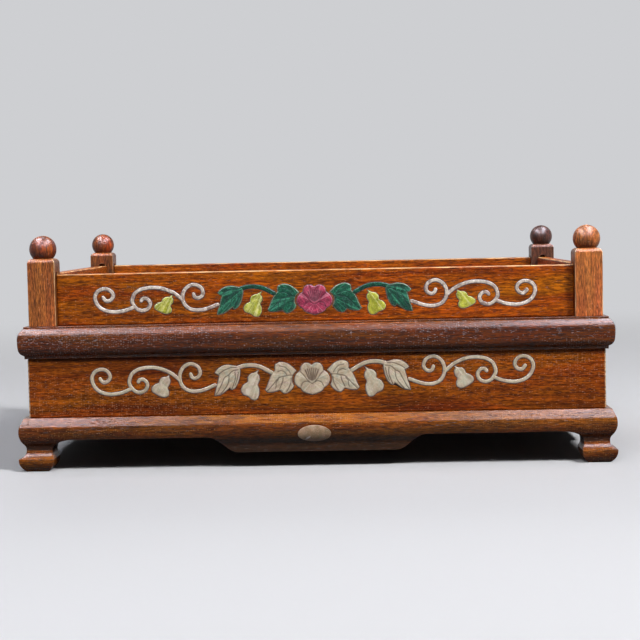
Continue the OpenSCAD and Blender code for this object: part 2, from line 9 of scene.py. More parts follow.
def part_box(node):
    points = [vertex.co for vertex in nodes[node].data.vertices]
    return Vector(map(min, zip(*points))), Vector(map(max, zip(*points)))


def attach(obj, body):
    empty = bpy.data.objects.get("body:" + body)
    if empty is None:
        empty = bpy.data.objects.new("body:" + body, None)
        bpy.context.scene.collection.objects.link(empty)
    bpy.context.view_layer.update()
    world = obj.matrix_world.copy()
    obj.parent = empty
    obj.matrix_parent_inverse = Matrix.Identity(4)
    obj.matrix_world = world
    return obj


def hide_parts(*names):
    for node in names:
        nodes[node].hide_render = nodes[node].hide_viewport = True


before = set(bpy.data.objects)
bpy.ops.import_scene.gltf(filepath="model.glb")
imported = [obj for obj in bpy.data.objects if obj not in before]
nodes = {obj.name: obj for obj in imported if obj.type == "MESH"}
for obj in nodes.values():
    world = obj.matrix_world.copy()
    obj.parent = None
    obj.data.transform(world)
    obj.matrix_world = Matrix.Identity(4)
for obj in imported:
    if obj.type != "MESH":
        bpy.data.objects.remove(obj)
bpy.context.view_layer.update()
sides = ("front", "right", "back", "left")
corners = ("front_right", "back_right", "back_left", "front_left")
mm = 0.001
print("frame loaded:", len(nodes), "nodes")


def tone(r, g, b):  # a colour as it looks on screen, 0 to 255
    return tuple(((c / 255 + 0.055) / 1.055) ** 2.4 if c > 10 else c / 3294.6 for c in (r, g, b)) + (1.0,)


def unit(value):  # held between 0 and 1
    return min(max(value, 0.0), 1.0)


# small helpers for shader trees
def feed(tree, socket, value):
    if isinstance(value, bpy.types.NodeSocket):
        tree.links.new(value, socket)
    else:
        socket.default_value = value


def feedAll(tree, node, inputs):
    for key, value in inputs.items():
        feed(tree, node.inputs[key], value)


def put(tree, kind, inputs=None, **settings):
    node = tree.nodes.new(kind)
    for key, value in settings.items():
        setattr(node, key, value)
    feedAll(tree, node, inputs or {})
    return node


def calc(tree, operation, a, b=0.0):
    return put(tree, "ShaderNodeMath", {0: a, 1: b}, operation=operation).outputs[0]


def times(tree, a, b):
    return calc(tree, "MULTIPLY", a, b)


def spread(tree, value, low, high, toLow=0.0, toHigh=1.0):  # a value moved from one range to another
    return put(tree, "ShaderNodeMapRange", {0: value, 1: low, 2: high, 3: toLow, 4: toHigh},
               interpolation_type="SMOOTHSTEP").outputs[0]


def mixed(tree, factor, a, b, blend="MIX"):
    return put(tree, "ShaderNodeMix", {0: factor, 6: a, 7: b}, data_type="RGBA", blend_type=blend).outputs[2]


def scaled(tree, vector, by):
    return put(tree, "ShaderNodeVectorMath", {0: vector, 1: by}, operation="MULTIPLY").outputs[0]


def length(tree, vector):
    return put(tree, "ShaderNodeVectorMath", {0: vector}, operation="LENGTH").outputs["Value"]


def noise(tree, vector, stretch, detail=3.0, rough=0.55, twist=0.0):
    return put(tree, "ShaderNodeTexNoise", {"Vector": scaled(tree, vector, stretch), "Scale": 1.0, "Detail": detail,
                                            "Roughness": rough, "Distortion": twist}).outputs[0]


def grey(tree, value):
    return put(tree, "ShaderNodeCombineColor", {k: value for k in (0, 1, 2)}).outputs[0]


def objectPlace(tree):
    return put(tree, "ShaderNodeTexCoord").outputs["Object"]


def newGroup(name, ins, outs):
    tree = bpy.data.node_groups.new(name, "ShaderNodeTree")
    for label, kind, value in ins:
        socket = tree.interface.new_socket(label, in_out="INPUT", socket_type=kind)
        if value is not None:
            socket.default_value = value
    for label, kind in outs:
        tree.interface.new_socket(label, in_out="OUTPUT", socket_type=kind)
    return tree, tree.nodes.new("NodeGroupInput").outputs, tree.nodes.new("NodeGroupOutput").inputs


vec, col, num = "NodeSocketVector", "NodeSocketColor", "NodeSocketFloat"

# noises give stretch, detail, roughness and twist; ranges give from low, from high, to low and to high
woodFigure = {
    "broad": ((5.0, 36.0, 36.0), 2.0, 0.5, 0.6), "band": ((18.0, 300.0, 300.0), 3.0, 0.65, 0.3),
    "lines": ((130.0, 1300.0, 1300.0), 2.0, 0.6, 0.2), "fibre": ((210.0, 1200.0, 1200.0), 3.0, 0.7),
    "drift": ((11.0, 90.0, 90.0), 2.0, 0.5, 0.8), "patch": ((8.0, 42.0, 42.0), 2.0),
    "bodyRange": (0.24, 0.74), "lineRange": (0.50, 0.60), "shadeRange": (0.34, 0.66, 0.5, 1.5),
    "hueRange": (0.34, 0.66, 0.492, 0.505), "patchRange": (0.42, 0.64, 0.05, 1.0),
    "matteRange": (0.3, 0.7, 0.06, -0.06), "speckRange": (0.20, 0.46, 1.0, 0.0),
    "poreSize": (280.0, 1500.0, 1500.0), "dustSize": (700.0, 1900.0, 1900.0),
    "broadShare": 0.6, "poreShare": 0.6, "dustShare": 0.36, "pitMatte": 0.2,
    "fibreHigh": 0.5, "lineHigh": 0.3, "poreDeep": 0.6,
}
# patch and endRange make the wear and painted top light uneven and less towards the ends; the last colour is that of
# painted shade
wearFigure = {"patch": ((80.0, 600.0, 600.0), 3.0), "patchRange": (0.36, 0.62, 0.15, 1.15),
              "endRange": (0.03, 0.11, 0.0, 0.7), "grime": (34, 21, 10)}
shellFigure = {
    "cloud": ((210.0, 210.0, 210.0), 4.0, 0.6, 1.0), "layer": ((700.0, 700.0, 1100.0), 3.0, 0.6, 1.5),
    "drift": ((90.0, 90.0, 120.0), 2.0, 0.5, 2.5), "streak": ((1.0, 1.0, 1.0), 2.0, 0.6),
    "flakeSize": (430.0, 430.0, 430.0), "cloudRange": (0.36, 0.64), "layerRange": (0.50, 0.70),
    "brightRange": (0.50, 0.64), "darkRange": (0.48, 0.36), "brokenRange": (0.40, 0.58, 0.35, 1.0),
    "matteRange": (0.3, 0.7, 0.40, 0.28), "brightShare": 0.5, "darkShare": 0.55, "lineMatte": 0.3,
    "layerHigh": 0.4, "flakeHigh": 0.3,
    "tints": ((0.30, (150, 205, 200)), (0.5, (240, 228, 190)), (0.70, (225, 190, 215))),
}


# hardwood with short dark streaks, fine fibres and open pores, some of them filled with pale dust
def makeWoodGrain():
    tree, given, out = newGroup("woodGrain", [
        ("Grain", vec, None), ("Light", col, None), ("Deep", col, None), ("Streak", col, None),
        ("Speck", col, None), ("Streaks", num, 0.6), ("Pores", num, 0.4), ("Dust", num, 0.3), ("Matte", num, 0.34)],
        [("Color", col), ("Roughness", num), ("Height", num)])
    figure, g = woodFigure, given["Grain"]
    broad, band, lines, fibre, drift, patch = (
        noise(tree, g, *figure[k]) for k in ("broad", "band", "lines", "fibre", "drift", "patch"))
    wave = calc(tree, "ADD", band, times(tree, calc(tree, "SUBTRACT", broad, 0.5), figure["broadShare"]))
    body = mixed(tree, spread(tree, wave, *figure["bodyRange"]), given["Deep"], given["Light"])
    darkLine = times(tree, spread(tree, lines, *figure["lineRange"]), given["Streaks"])
    body = mixed(tree, darkLine, body, given["Streak"])
    body = mixed(tree, 1.0, body, grey(tree, spread(tree, fibre, *figure["shadeRange"])), "MULTIPLY")
    hue = spread(tree, drift, *figure["hueRange"])  # some bands are more golden, some redder
    body = put(tree, "ShaderNodeHueSaturation", {"Hue": hue, "Color": body}).outputs[0]
    dark = specks(tree, g, figure["poreSize"], given["Pores"])
    dusty = times(tree, given["Dust"], spread(tree, patch, *figure["patchRange"]))
    pale = specks(tree, g, figure["dustSize"], dusty)
    body = mixed(tree, times(tree, dark, figure["poreShare"]), body, given["Streak"])
    body = mixed(tree, times(tree, pale, figure["dustShare"]), body, given["Speck"])
    feed(tree, out["Color"], body)
    coarse = calc(tree, "ADD", given["Matte"], spread(tree, fibre, *figure["matteRange"]))
    pits = times(tree, calc(tree, "MAXIMUM", dark, pale), figure["pitMatte"])
    feed(tree, out["Roughness"], calc(tree, "ADD", coarse, pits))
    ridge = calc(tree, "ADD", times(tree, fibre, figure["fibreHigh"]), times(tree, lines, figure["lineHigh"]))
    feed(tree, out["Height"], calc(tree, "SUBTRACT", ridge, times(tree, dark, figure["poreDeep"])))
    return tree


def specks(tree, g, size, share):  # short cells along the grain, of which a share is taken
    cell = put(tree, "ShaderNodeTexVoronoi", {"Vector": scaled(tree, g, size), "Scale": 1.0, "Randomness": 1.0})
    chance = put(tree, "ShaderNodeSeparateColor", {0: cell.outputs["Color"]}).outputs[0]
    spot = spread(tree, cell.outputs["Distance"], *woodFigure["speckRange"])
    return times(tree, spot, calc(tree, "LESS_THAN", chance, share))


# paler wood on rubbed arrises, as wear and as painted highlight, and on slopes that look up, as painted top light,
# both less towards the ends of a side where set; painted shade over it
def makeWearLightShade():
    tree, given, out = newGroup("wearLightShade", [
        ("Color", col, None), ("Arris", num, 0.0), ("Grain", vec, None), ("Bare", col, None), ("Amount", num, 0.5),
        ("Soil", num, 0.0), ("Place", vec, None), ("Held", num, 0.0)],
        [("Color", col)])
    uneven = spread(tree, noise(tree, given["Grain"], *wearFigure["patch"]), *wearFigure["patchRange"])
    x, y, _ = put(tree, "ShaderNodeSeparateXYZ", {0: given["Place"]}).outputs
    run = calc(tree, "MINIMUM", calc(tree, "ABSOLUTE", x), calc(tree, "ABSOLUTE", y))  # from the middle of a side
    ends = times(tree, spread(tree, run, *wearFigure["endRange"]), given["Held"])
    share = times(tree, times(tree, given["Arris"], given["Amount"]), uneven)
    share = times(tree, share, calc(tree, "SUBTRACT", 1.0, ends))
    unshaded = mixed(tree, share, given["Color"], given["Bare"])
    feed(tree, out["Color"], mixed(tree, given["Soil"], unshaded, tone(*wearFigure["grime"])))
    return tree


# shell: flakes and streaks of clouded layers, with a rim along the outline and dark engraved lines
def makeNacre():
    tree, given, out = newGroup("nacre", [
        ("Place", vec, None), ("Body", col, None), ("Bright", col, None), ("Shade", col, None), ("Line", col, None),
        ("Rim", col, None), ("Engraved", num, 0.0), ("Edge", num, 0.0), ("Stripe", num, 0.0), ("Tile", num, 0.0),
        ("Flakes", num, 0.2), ("Tint", num, 0.3)],
        [("Color", col), ("Roughness", num), ("Height", num)])
    figure = shellFigure
    offset = put(tree, "ShaderNodeCombineXYZ", {k: given["Tile"] for k in (0, 1, 2)}).outputs[0]
    place = put(tree, "ShaderNodeVectorMath", {0: given["Place"], 1: offset}, operation="ADD").outputs[0]
    cloud, layer, drift = (noise(tree, place, *figure[k]) for k in ("cloud", "layer", "drift"))
    ray = put(tree, "ShaderNodeCombineXYZ", {0: given["Stripe"], 1: given["Tile"], 2: 0.0}).outputs[0]
    streak = noise(tree, ray, *figure["streak"])
    body = mixed(tree, spread(tree, cloud, *figure["cloudRange"]), given["Shade"], given["Body"])
    bright = spread(tree, streak, *figure["brightRange"])
    gleam = calc(tree, "ADD", spread(tree, layer, *figure["layerRange"]), bright)
    body = mixed(tree, times(tree, gleam, figure["brightShare"]), body, given["Bright"])
    dull = times(tree, spread(tree, streak, *figure["darkRange"]), figure["darkShare"])
    body = mixed(tree, dull, body, given["Shade"])
    cell = put(tree, "ShaderNodeTexVoronoi", {"Vector": scaled(tree, place, figure["flakeSize"]), "Scale": 1.0})
    chance = put(tree, "ShaderNodeSeparateColor", {0: cell.outputs["Color"]}).outputs[0]
    swing = times(tree, calc(tree, "SUBTRACT", chance, 0.5), given["Flakes"])
    level = calc(tree, "ADD", times(tree, swing, 2.0), 1.0)
    body = mixed(tree, 1.0, body, grey(tree, level), "MULTIPLY")
    ramp = put(tree, "ShaderNodeValToRGB", {0: drift})
    stops = ramp.color_ramp.elements
    first, middle, last = figure["tints"]
    for stop, (at, tint) in ((stops[0], first), (stops[1], last)):
        stop.position, stop.color = at, tone(*tint)
    stops.new(middle[0]).color = tone(*middle[1])
    body = mixed(tree, given["Tint"], body, ramp.outputs[0], "OVERLAY")
    broken = spread(tree, cloud, *figure["brokenRange"])
    body = mixed(tree, times(tree, given["Edge"], broken), body, given["Rim"])
    feed(tree, out["Color"], mixed(tree, given["Engraved"], body, given["Line"]))
    feed(tree, out["Roughness"], calc(tree, "ADD", spread(tree, layer, *figure["matteRange"]),
                                      times(tree, given["Engraved"], figure["lineMatte"])))
    feed(tree, out["Height"], calc(tree, "ADD", times(tree, layer, figure["layerHigh"]),
                                   times(tree, chance, figure["flakeHigh"])))
    return tree


woodGrain, wearLightShade, nacre = makeWoodGrain(), makeWearLightShade(), makeNacre()
finish = {"woodBump": (0.6, 0.3 * mm), "shellBump": (0.2, 0.2 * mm), "coatMatte": 0.25, "shellGloss": 0.22}


def newMaterial(name):
    material = bpy.data.materials.new(name)
    material.use_nodes = True
    tree = material.node_tree
    return material, tree, tree.nodes["Principled BSDF"]


def attribute(tree, name):
    return put(tree, "ShaderNodeAttribute", attribute_name=name).outputs


def bumped(tree, height, strength, distance):
    return put(tree, "ShaderNodeBump", {"Strength": strength, "Distance": distance, "Height": height}).outputs[0]


def woodFinish(name, look):
    material, tree, skin = newMaterial(name)
    grain = attribute(tree, "grain")["Vector"]
    given = {"Grain": grain} | {label: tone(*look[label]) for label in ("Light", "Deep", "Streak", "Speck")}
    given |= {label: look[label] for label in ("Streaks", "Pores", "Dust", "Matte")}
    wood = put(tree, "ShaderNodeGroup", given, node_tree=woodGrain).outputs
    finished = put(tree, "ShaderNodeGroup", {
        "Color": wood["Color"], "Arris": attribute(tree, "arris")["Fac"], "Grain": grain,
        "Bare": tone(*look["Bare"]), "Amount": look["Wear"], "Soil": attribute(tree, "soil")["Fac"],
        "Place": objectPlace(tree), "Held": look.get("Held", 0.0)}, node_tree=wearLightShade).outputs
    feedAll(tree, skin, {
        "Base Color": finished["Color"], "Roughness": wood["Roughness"],
        "Normal": bumped(tree, wood["Height"], *finish["woodBump"]), "Specular IOR Level": look["Gloss"],
        "Coat Weight": look["Polish"], "Coat Roughness": finish["coatMatte"]})
    return material


# painted glint: a bright sliver low on the oval plaque, standing in for a highlight
def paintedGlint(tree, glint):  # a bright sliver low on the oval plaque, placed from its middle in millimetres
    low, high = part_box("oval_plaque")
    middle = (low + high) / 2 + Vector((glint["across"], 0, glint["up"])) * mm
    sliver = put(tree, "ShaderNodeMapping", {
        "Vector": objectPlace(tree), "Location": middle, "Rotation": (0, math.radians(glint["turn"]), 0),
        "Scale": (glint["long"] * mm, 1.0, glint["wide"] * mm)}, vector_type="TEXTURE").outputs[0]
    return spread(tree, length(tree, sliver), glint["core"], 1.0, 1.0, 0.0)


def shellFinish(name, look):
    material, tree, skin = newMaterial(name)
    given = {label: tone(*look[label]) for label in ("Body", "Bright", "Shade", "Line", "Rim")}
    given |= {label: look[label] for label in ("Flakes", "Tint")}
    given |= {label: attribute(tree, label.lower())["Fac"] for label in ("Engraved", "Edge", "Stripe", "Tile")}
    if "Ripe" in look:
        given["Body"] = mixed(tree, attribute(tree, "ripe")["Fac"], given["Body"], tone(*look["Ripe"]))
    pearl = put(tree, "ShaderNodeGroup", given | {"Place": objectPlace(tree)}, node_tree=nacre).outputs
    shown = pearl["Color"]
    # a painted glint on the plaque
    if "Fleck" in look:
        shown = mixed(tree, paintedGlint(tree, look["Fleck"]), shown, tone(*look["Fleck"]["tone"]))
    feedAll(tree, skin, {
        "Base Color": shown, "Roughness": pearl["Roughness"],
        "Normal": bumped(tree, pearl["Height"], *finish["shellBump"]), "Specular IOR Level": finish["shellGloss"]})
    return material


woodLooks = {
    "railWood": {"Light": (182, 94, 14), "Deep": (122, 53, 9), "Streak": (62, 25, 7), "Speck": (220, 156, 104),
                 "Streaks": 0.55, "Pores": 0.3, "Dust": 0.22, "Bare": (250, 204, 140), "Wear": 0.9, "Gloss": 0.07,
                 "Polish": 0.0, "Matte": 0.36},
    # the rails' wood, darker as painted shade under the moulding
    "wallWood": {"Light": (160, 82, 18), "Deep": (94, 42, 10), "Streak": (50, 20, 7), "Speck": (214, 156, 116),
                 "Streaks": 0.55, "Pores": 0.3, "Dust": 0.5, "Bare": (236, 200, 152), "Wear": 0.9, "Gloss": 0.06,
                 "Polish": 0.0, "Matte": 0.36},
    "mouldWood": {"Light": (110, 54, 14), "Deep": (64, 29, 9), "Streak": (30, 13, 6), "Speck": (186, 166, 160),
                  "Streaks": 0.6, "Pores": 0.35, "Dust": 0.6, "Bare": (206, 120, 52), "Wear": 0.6, "Gloss": 0.2,
                  "Polish": 0.0, "Matte": 0.27, "Held": 1.0},
    "baseWood": {"Light": (150, 80, 14), "Deep": (92, 45, 8), "Streak": (44, 20, 6), "Speck": (214, 148, 76),
                 "Streaks": 0.6, "Pores": 0.35, "Dust": 0.45, "Bare": (218, 132, 16), "Wear": 0.75, "Gloss": 0.16,
                 "Polish": 0.0, "Matte": 0.19, "Held": 1.0},
    "postWood": {"Light": (192, 114, 52), "Deep": (140, 77, 34), "Streak": (72, 36, 16), "Speck": (224, 176, 140),
                 "Streaks": 0.6, "Pores": 0.35, "Dust": 0.3, "Bare": (240, 196, 146), "Wear": 0.9, "Gloss": 0.18,
                 "Polish": 0.0, "Matte": 0.34},
    # a lighter copy of the post wood, as painted light from the right
    "litPostWood": {"Light": (222, 132, 71), "Deep": (174, 95, 48), "Streak": (98, 52, 24), "Speck": (244, 200, 164),
                     "Streaks": 0.4, "Pores": 0.35, "Dust": 0.35, "Bare": (244, 204, 158), "Wear": 0.9, "Gloss": 0.18,
                     "Polish": 0.0, "Matte": 0.34},
    "ballWood": {"Light": (172, 84, 28), "Deep": (88, 38, 14), "Streak": (42, 17, 8), "Speck": (206, 160, 136),
                 "Streaks": 0.4, "Pores": 0.3, "Dust": 0.1, "Bare": (190, 132, 90), "Wear": 0.3, "Gloss": 0.26,
                 "Polish": 0.05, "Matte": 0.38},
    # paler wood with painted light
    "paleLitBallWood": {"Light": (218, 134, 70), "Deep": (148, 78, 35), "Streak": (66, 32, 16), "Speck": (236, 196, 164),
                     "Streaks": 0.5, "Pores": 0.3, "Dust": 0.2, "Bare": (230, 180, 130), "Wear": 0.3, "Gloss": 0.2,
                     "Polish": 0.04, "Matte": 0.38},
    # darker wood with painted shade
    "shadedBallWood": {"Light": (100, 61, 48), "Deep": (58, 33, 26), "Streak": (34, 18, 13), "Speck": (176, 146, 136),
                     "Streaks": 0.4, "Pores": 0.3, "Dust": 0.1, "Bare": (150, 116, 100), "Wear": 0.3, "Gloss": 0.28,
                     "Polish": 0.05, "Matte": 0.36},
    # darker wood with painted shade
    "shadedPostWood": {"Light": (138, 90, 66), "Deep": (98, 60, 42), "Streak": (56, 32, 22), "Speck": (176, 146, 136),
                     "Streaks": 0.5, "Pores": 0.35, "Dust": 0.3, "Bare": (188, 152, 130), "Wear": 0.8, "Gloss": 0.18,
                     "Polish": 0.0, "Matte": 0.34},
    "plainWood": {"Light": (158, 88, 38), "Deep": (116, 60, 26), "Streak": (66, 33, 15), "Speck": (206, 170, 140),
                  "Streaks": 0.5, "Pores": 0.4, "Dust": 0.2, "Bare": (196, 140, 88), "Wear": 0.4, "Gloss": 0.16,
                  "Polish": 0.0, "Matte": 0.4},
}
shellLooks = {
    "whiteShell": {"Body": (228, 212, 198), "Bright": (250, 242, 236), "Shade": (156, 136, 128), "Line": (84, 62, 50),
                   "Rim": (150, 128, 114), "Flakes": 0.2, "Tint": 0.1},
    "paleShell": {"Body": (196, 180, 160), "Bright": (222, 210, 195), "Shade": (172, 154, 134), "Line": (66, 46, 28),
                  "Rim": (140, 112, 92), "Flakes": 0.11, "Tint": 0.2, "Ripe": (196, 187, 169)},
    "plaqueShell": {"Body": (184, 152, 128), "Bright": (206, 178, 168), "Shade": (152, 124, 96), "Line": (60, 42, 26),
                    "Rim": (150, 124, 106), "Flakes": 0.04, "Tint": 0.16,
                    # a painted glint low on the plaque
                    "Fleck": {"across": -3.9, "up": -2.9, "turn": -32, "long": 2.3, "wide": 0.7, "core": 0.5,
                              "tone": (255, 240, 230)}},
    "leafShell": {"Body": (5, 64, 44), "Bright": (74, 158, 128), "Shade": (8, 58, 44), "Line": (6, 44, 36),
                  "Rim": (150, 158, 128), "Flakes": 0.45, "Tint": 0.16},
    "gourdShell": {"Body": (188, 190, 60), "Bright": (236, 234, 170), "Shade": (138, 142, 38), "Line": (104, 104, 30),
                   "Rim": (196, 192, 120), "Flakes": 0.22, "Tint": 0.1},
    "flowerShell": {"Body": (192, 64, 98), "Bright": (222, 136, 158), "Shade": (118, 28, 56), "Line": (66, 10, 30),
                    "Rim": (176, 104, 118), "Flakes": 0.3, "Tint": 0.1},
}
woods = {name: woodFinish(name, look) for name, look in woodLooks.items()}
shells = {name: shellFinish(name, look) for name, look in shellLooks.items()}


masticLook = {"crumb": ((900.0, 900.0, 900.0), 3.0), "dark": (30, 18, 12), "light": (66, 40, 26),
              "matteRange": (0.3, 0.7, 0.55, 0.8)}


def makeMastic():
    material, tree, skin = newMaterial("darkMastic")
    crumb = noise(tree, objectPlace(tree), *masticLook["crumb"])
    shown = mixed(tree, crumb, tone(*masticLook["dark"]), tone(*masticLook["light"]))
    feedAll(tree, skin, {"Base Color": shown, "Roughness": spread(tree, crumb, *masticLook["matteRange"])})
    return material


darkMastic = makeMastic()
print("finishes made:", len(bpy.data.materials))


def meshOf(bm, name):
    mesh = bpy.data.meshes.new(name)
    bm.to_mesh(mesh)
    bm.free()
    return mesh


def newObject(name, data):
    thing = bpy.data.objects.new(name, data)
    bpy.context.scene.collection.objects.link(thing)
    return thing


def only(kind, geometry):
    return [g for g in geometry if isinstance(g, kind)]


grainShift = (0.2, 3.0)  # each piece is cut from another part of the tree
evenWeight = 80


# a finished bmesh becomes a piece that rides on a body and stands for a node
def settle(bm, name, material, body, node=None, axis=None, smooth=True):
    mesh = meshOf(bm, name)
    mesh.materials.append(material)
    if axis is not None:
        co = np.empty(len(mesh.vertices) * 3, np.float32)
        mesh.vertices.foreach_get("co", co)
        turned = np.roll(co.reshape(-1, 3), -axis, axis=1)
        shift = np.random.RandomState(sum(map(ord, name))).uniform(*grainShift, 3)
        grain = mesh.attributes.new("grain", "FLOAT_VECTOR", "POINT")
        grain.data.foreach_set("vector", (turned + shift).astype(np.float32).ravel())
    piece = newObject(name, mesh)
    if smooth:
        mesh.shade_smooth()
        piece.modifiers.new("evenShading", "WEIGHTED_NORMAL").weight = evenWeight
    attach(piece, body)
    if node:
        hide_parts(node)
    return piece


# sharp in degrees, the others set the painted top light by how far a face looks up
arrisRule = {"sharp": 34, "level": 0.97, "slope": 0.45, "least": 0.2}
weld = {"near": 2e-6, "flat": 0.5}  # metres and degrees


def cadMesh(node):  # the solid's mesh with its flat faces whole
    bm = bmesh.new()
    bm.from_mesh(nodes[node].data)
    bmesh.ops.remove_doubles(bm, verts=bm.verts, dist=weld["near"])
    bmesh.ops.dissolve_limit(bm, angle_limit=math.radians(weld["flat"]), verts=bm.verts, edges=bm.edges)
    return bm


def roundEdges(bm, sharp, width):  # edges of more than sharp degrees, and what faces they became
    edges = [e for e in bm.edges if len(e.link_faces) == 2 and e.calc_face_angle(0) > math.radians(sharp)]
    return bmesh.ops.bevel(bm, geom=edges, offset=width, offset_type="OFFSET", segments=3, profile=0.5,
                           affect="EDGES", clamp_overlap=True, material=-1)["faces"]


# rounds the hard edges and marks the rounded faces as worn and for painted highlight, and slopes that look up for
# painted top light;
# faces below low or above high, near a joint, are left with neither wear nor painted light
def ease(bm, width, low=-1.0, high=1.0, rub=0.0):
    arris = bm.faces.layers.float.new("arris")  # added first, since a new layer drops what bevel returns
    made = roundEdges(bm, arrisRule["sharp"], width)
    for face in bm.faces:
        face.normal_update()
        if face.normal.z < arrisRule["level"] and low < face.calc_center_median().z < high:
            face[arris] = rub * unit(face.normal.z / arrisRule["slope"] - arrisRule["least"])
    for face in made:
        if face.is_valid and low < face.calc_center_median().z < high:
            face[arris] = 1.0


# a softened copy of a node: painted top light on its slopes that look up and, where given, painted shade face by face
def softened(node, name, material, body, width, axis, low=-1.0, high=1.0, rub=0.0, grime=None):
    bm = cadMesh(node)
    ease(bm, width, low, high, rub)
    if grime:
        soil = bm.faces.layers.float.new("soil")
        for face in bm.faces:
            face[soil] = grime(face.calc_center_median(), face.normal)
    return settle(bm, name, material, body, node, axis)


def camel(*words):
    parts = "_".join(words).split("_")
    return parts[0] + "".join(p.capitalize() for p in parts[1:])


easing = {"tray_frame": 0.35 * mm, "base": 0.45 * mm, "foot": 0.4 * mm, "post": 0.8 * mm,
          "lip_strip": 0.6 * mm, "finial": 0.2 * mm, "panel": 0.5 * mm}
# painted top light on the slopes that look up, for each kind; baseDepth is how far below the base's top wear and
# painted light reach
paintedTopLight = {"tray_frame": 0.3, "base": 0.55, "foot": 0.2, "baseDepth": 9 * mm}
# painted shade, darker towards the bottom of the apron and of the balls, and on the posts' faces that look along the
# rails
# amount, with the height below which it is full and the one above which there is none;
# for corners, amount and how far out a face has to be
paintedShading = {"apron": (0.9, 12.0 * mm, 29.0 * mm), "ball": (0.6, 0.04, 0.36), "corner": (0.55, 0.09)}
# the front right post is a lighter copy, as painted light from the right, and its ball paler wood with painted light;
# the back right post and ball are darker wood with painted shade
cornerWoods = {"front_right": ("litPostWood", "paleLitBallWood"), "back_right": ("shadedPostWood", "shadedBallWood")}


# painted shade, darker towards the bottom
def lowPaintedShade(amount, low, high):
    return lambda spot, facing: amount * unit((high - spot.z) / (high - low))


# painted shade on the faces that look along the rails
def cornerPaintedShade(amount, far):  # on the faces that look along the rails
    return lambda spot, facing: amount if max(-facing.x * spot.x, -facing.y * spot.y) > far else 0.0


for i, side in enumerate(sides):
    run = i % 2  # grain along X on the long sides, along Y on the short ones
    softened(f"tray_frame_{side}", camel("trayFrame", side), woods["mouldWood"], "tray",
             easing["tray_frame"], run, rub=paintedTopLight["tray_frame"])
    softened(f"base_{side}", camel("apron", side), woods["baseWood"], "box", easing["base"], run,
             low=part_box("base_front")[1].z - paintedTopLight["baseDepth"], rub=paintedTopLight["base"],
             grime=lowPaintedShade(*paintedShading["apron"]))
    softened(f"lip_strip_{side}", camel("lipStrip", side), woods["plainWood"], "tray",
             easing["lip_strip"], run)
for corner in corners:
    softened(f"foot_{corner}", camel("foot", corner), woods["baseWood"], "box", easing["foot"], 0,
             high=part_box("base_front")[0].z, rub=paintedTopLight["foot"])
    post, ball = cornerWoods.get(corner, ("postWood", "ballWood"))
    softened(f"post_{corner}", camel("post", corner), woods[post], "tray", easing["post"], 2,
             low=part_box("rail_front")[0].z + easing["post"], grime=cornerPaintedShade(*paintedShading["corner"]))
    foot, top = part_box(f"post_{corner}")[1].z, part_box(f"finial_{corner}")[1].z
    amount, low, high = paintedShading["ball"]  # heights as shares of the ball's own
    softened(f"finial_{corner}", camel("ball", corner), woods[ball], "tray", easing["finial"], 2,
             grime=lowPaintedShade(amount, foot + low * (top - foot), foot + high * (top - foot)))
softened("tray_panel", "trayPanel", woods["plainWood"], "tray", easing["panel"], 0)
softened("box_floor", "boxFloor", woods["plainWood"], "box", easing["panel"], 0)
for hand in ("left", "right"):
    softened(f"batten_{hand}", camel("batten", hand), woods["plainWood"], "tray", easing["panel"], 1)
print("mouldings, posts and feet softened")


# a board that carries inlay, drawn up from its plan; one that is flush above shows no wear there
def board(plan, low, high, width, flush):
    bm = bmesh.new()
    sole = bm.faces.new([bm.verts.new((x, y, low)) for x, y in plan])
    grown = bmesh.ops.extrude_face_region(bm, geom=[sole])["geom"]
    bmesh.ops.translate(bm, vec=(0, 0, high - low), verts=only(bmesh.types.BMVert, grown))
    bmesh.ops.recalc_face_normals(bm, faces=bm.faces)
    ease(bm, width, low + width, high - width if flush else 1.0)
    return bm


boards = {"wallEase": 0.7 * mm, "railEase": 0.9 * mm, "tongueT": 5.0 * mm, "tongueRoot": 2.0 * mm,
          "tongueStop": 2.0 * mm, "upright": 0.35}
halfW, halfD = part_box("wall_front")[1].x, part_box("wall_right")[1].y
wallT = halfD - abs(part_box("wall_front")[1].y)
zBase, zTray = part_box("base_front")[1].z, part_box("wall_front")[1].z
zRail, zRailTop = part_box("rail_front")[0].z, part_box("rail_front")[1].z
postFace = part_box("post_front_right")[0].x  # inner face of the posts, along X
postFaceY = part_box("post_back_right")[0].y
railOut = abs(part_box("rail_front")[0].y)  # outer face of the long rails
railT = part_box("rail_front")[1].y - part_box("rail_front")[0].y
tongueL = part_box("rail_front")[1].x - postFace


def turn(i):
    return Matrix.Rotation(math.radians(90 * i), 4, "Z")


def railFace(i):  # how far out the rail of a side stands
    return railOut if i % 2 == 0 else railOut + halfW - halfD


def makeWall(i, side):
    halfRun, halfOut = (halfW, halfD) if i % 2 == 0 else (halfD, halfW)
    plan = [(-halfRun, -halfOut), (halfRun, -halfOut), (halfRun - wallT, wallT - halfOut),
            (wallT - halfRun, wallT - halfOut)]
    bm = board(plan, zBase, zTray, boards["wallEase"], True)
    bmesh.ops.transform(bm, matrix=turn(i), verts=bm.verts)
    settle(bm, camel("wall", side), woods["wallWood"], "box", f"wall_{side}", i % 2)


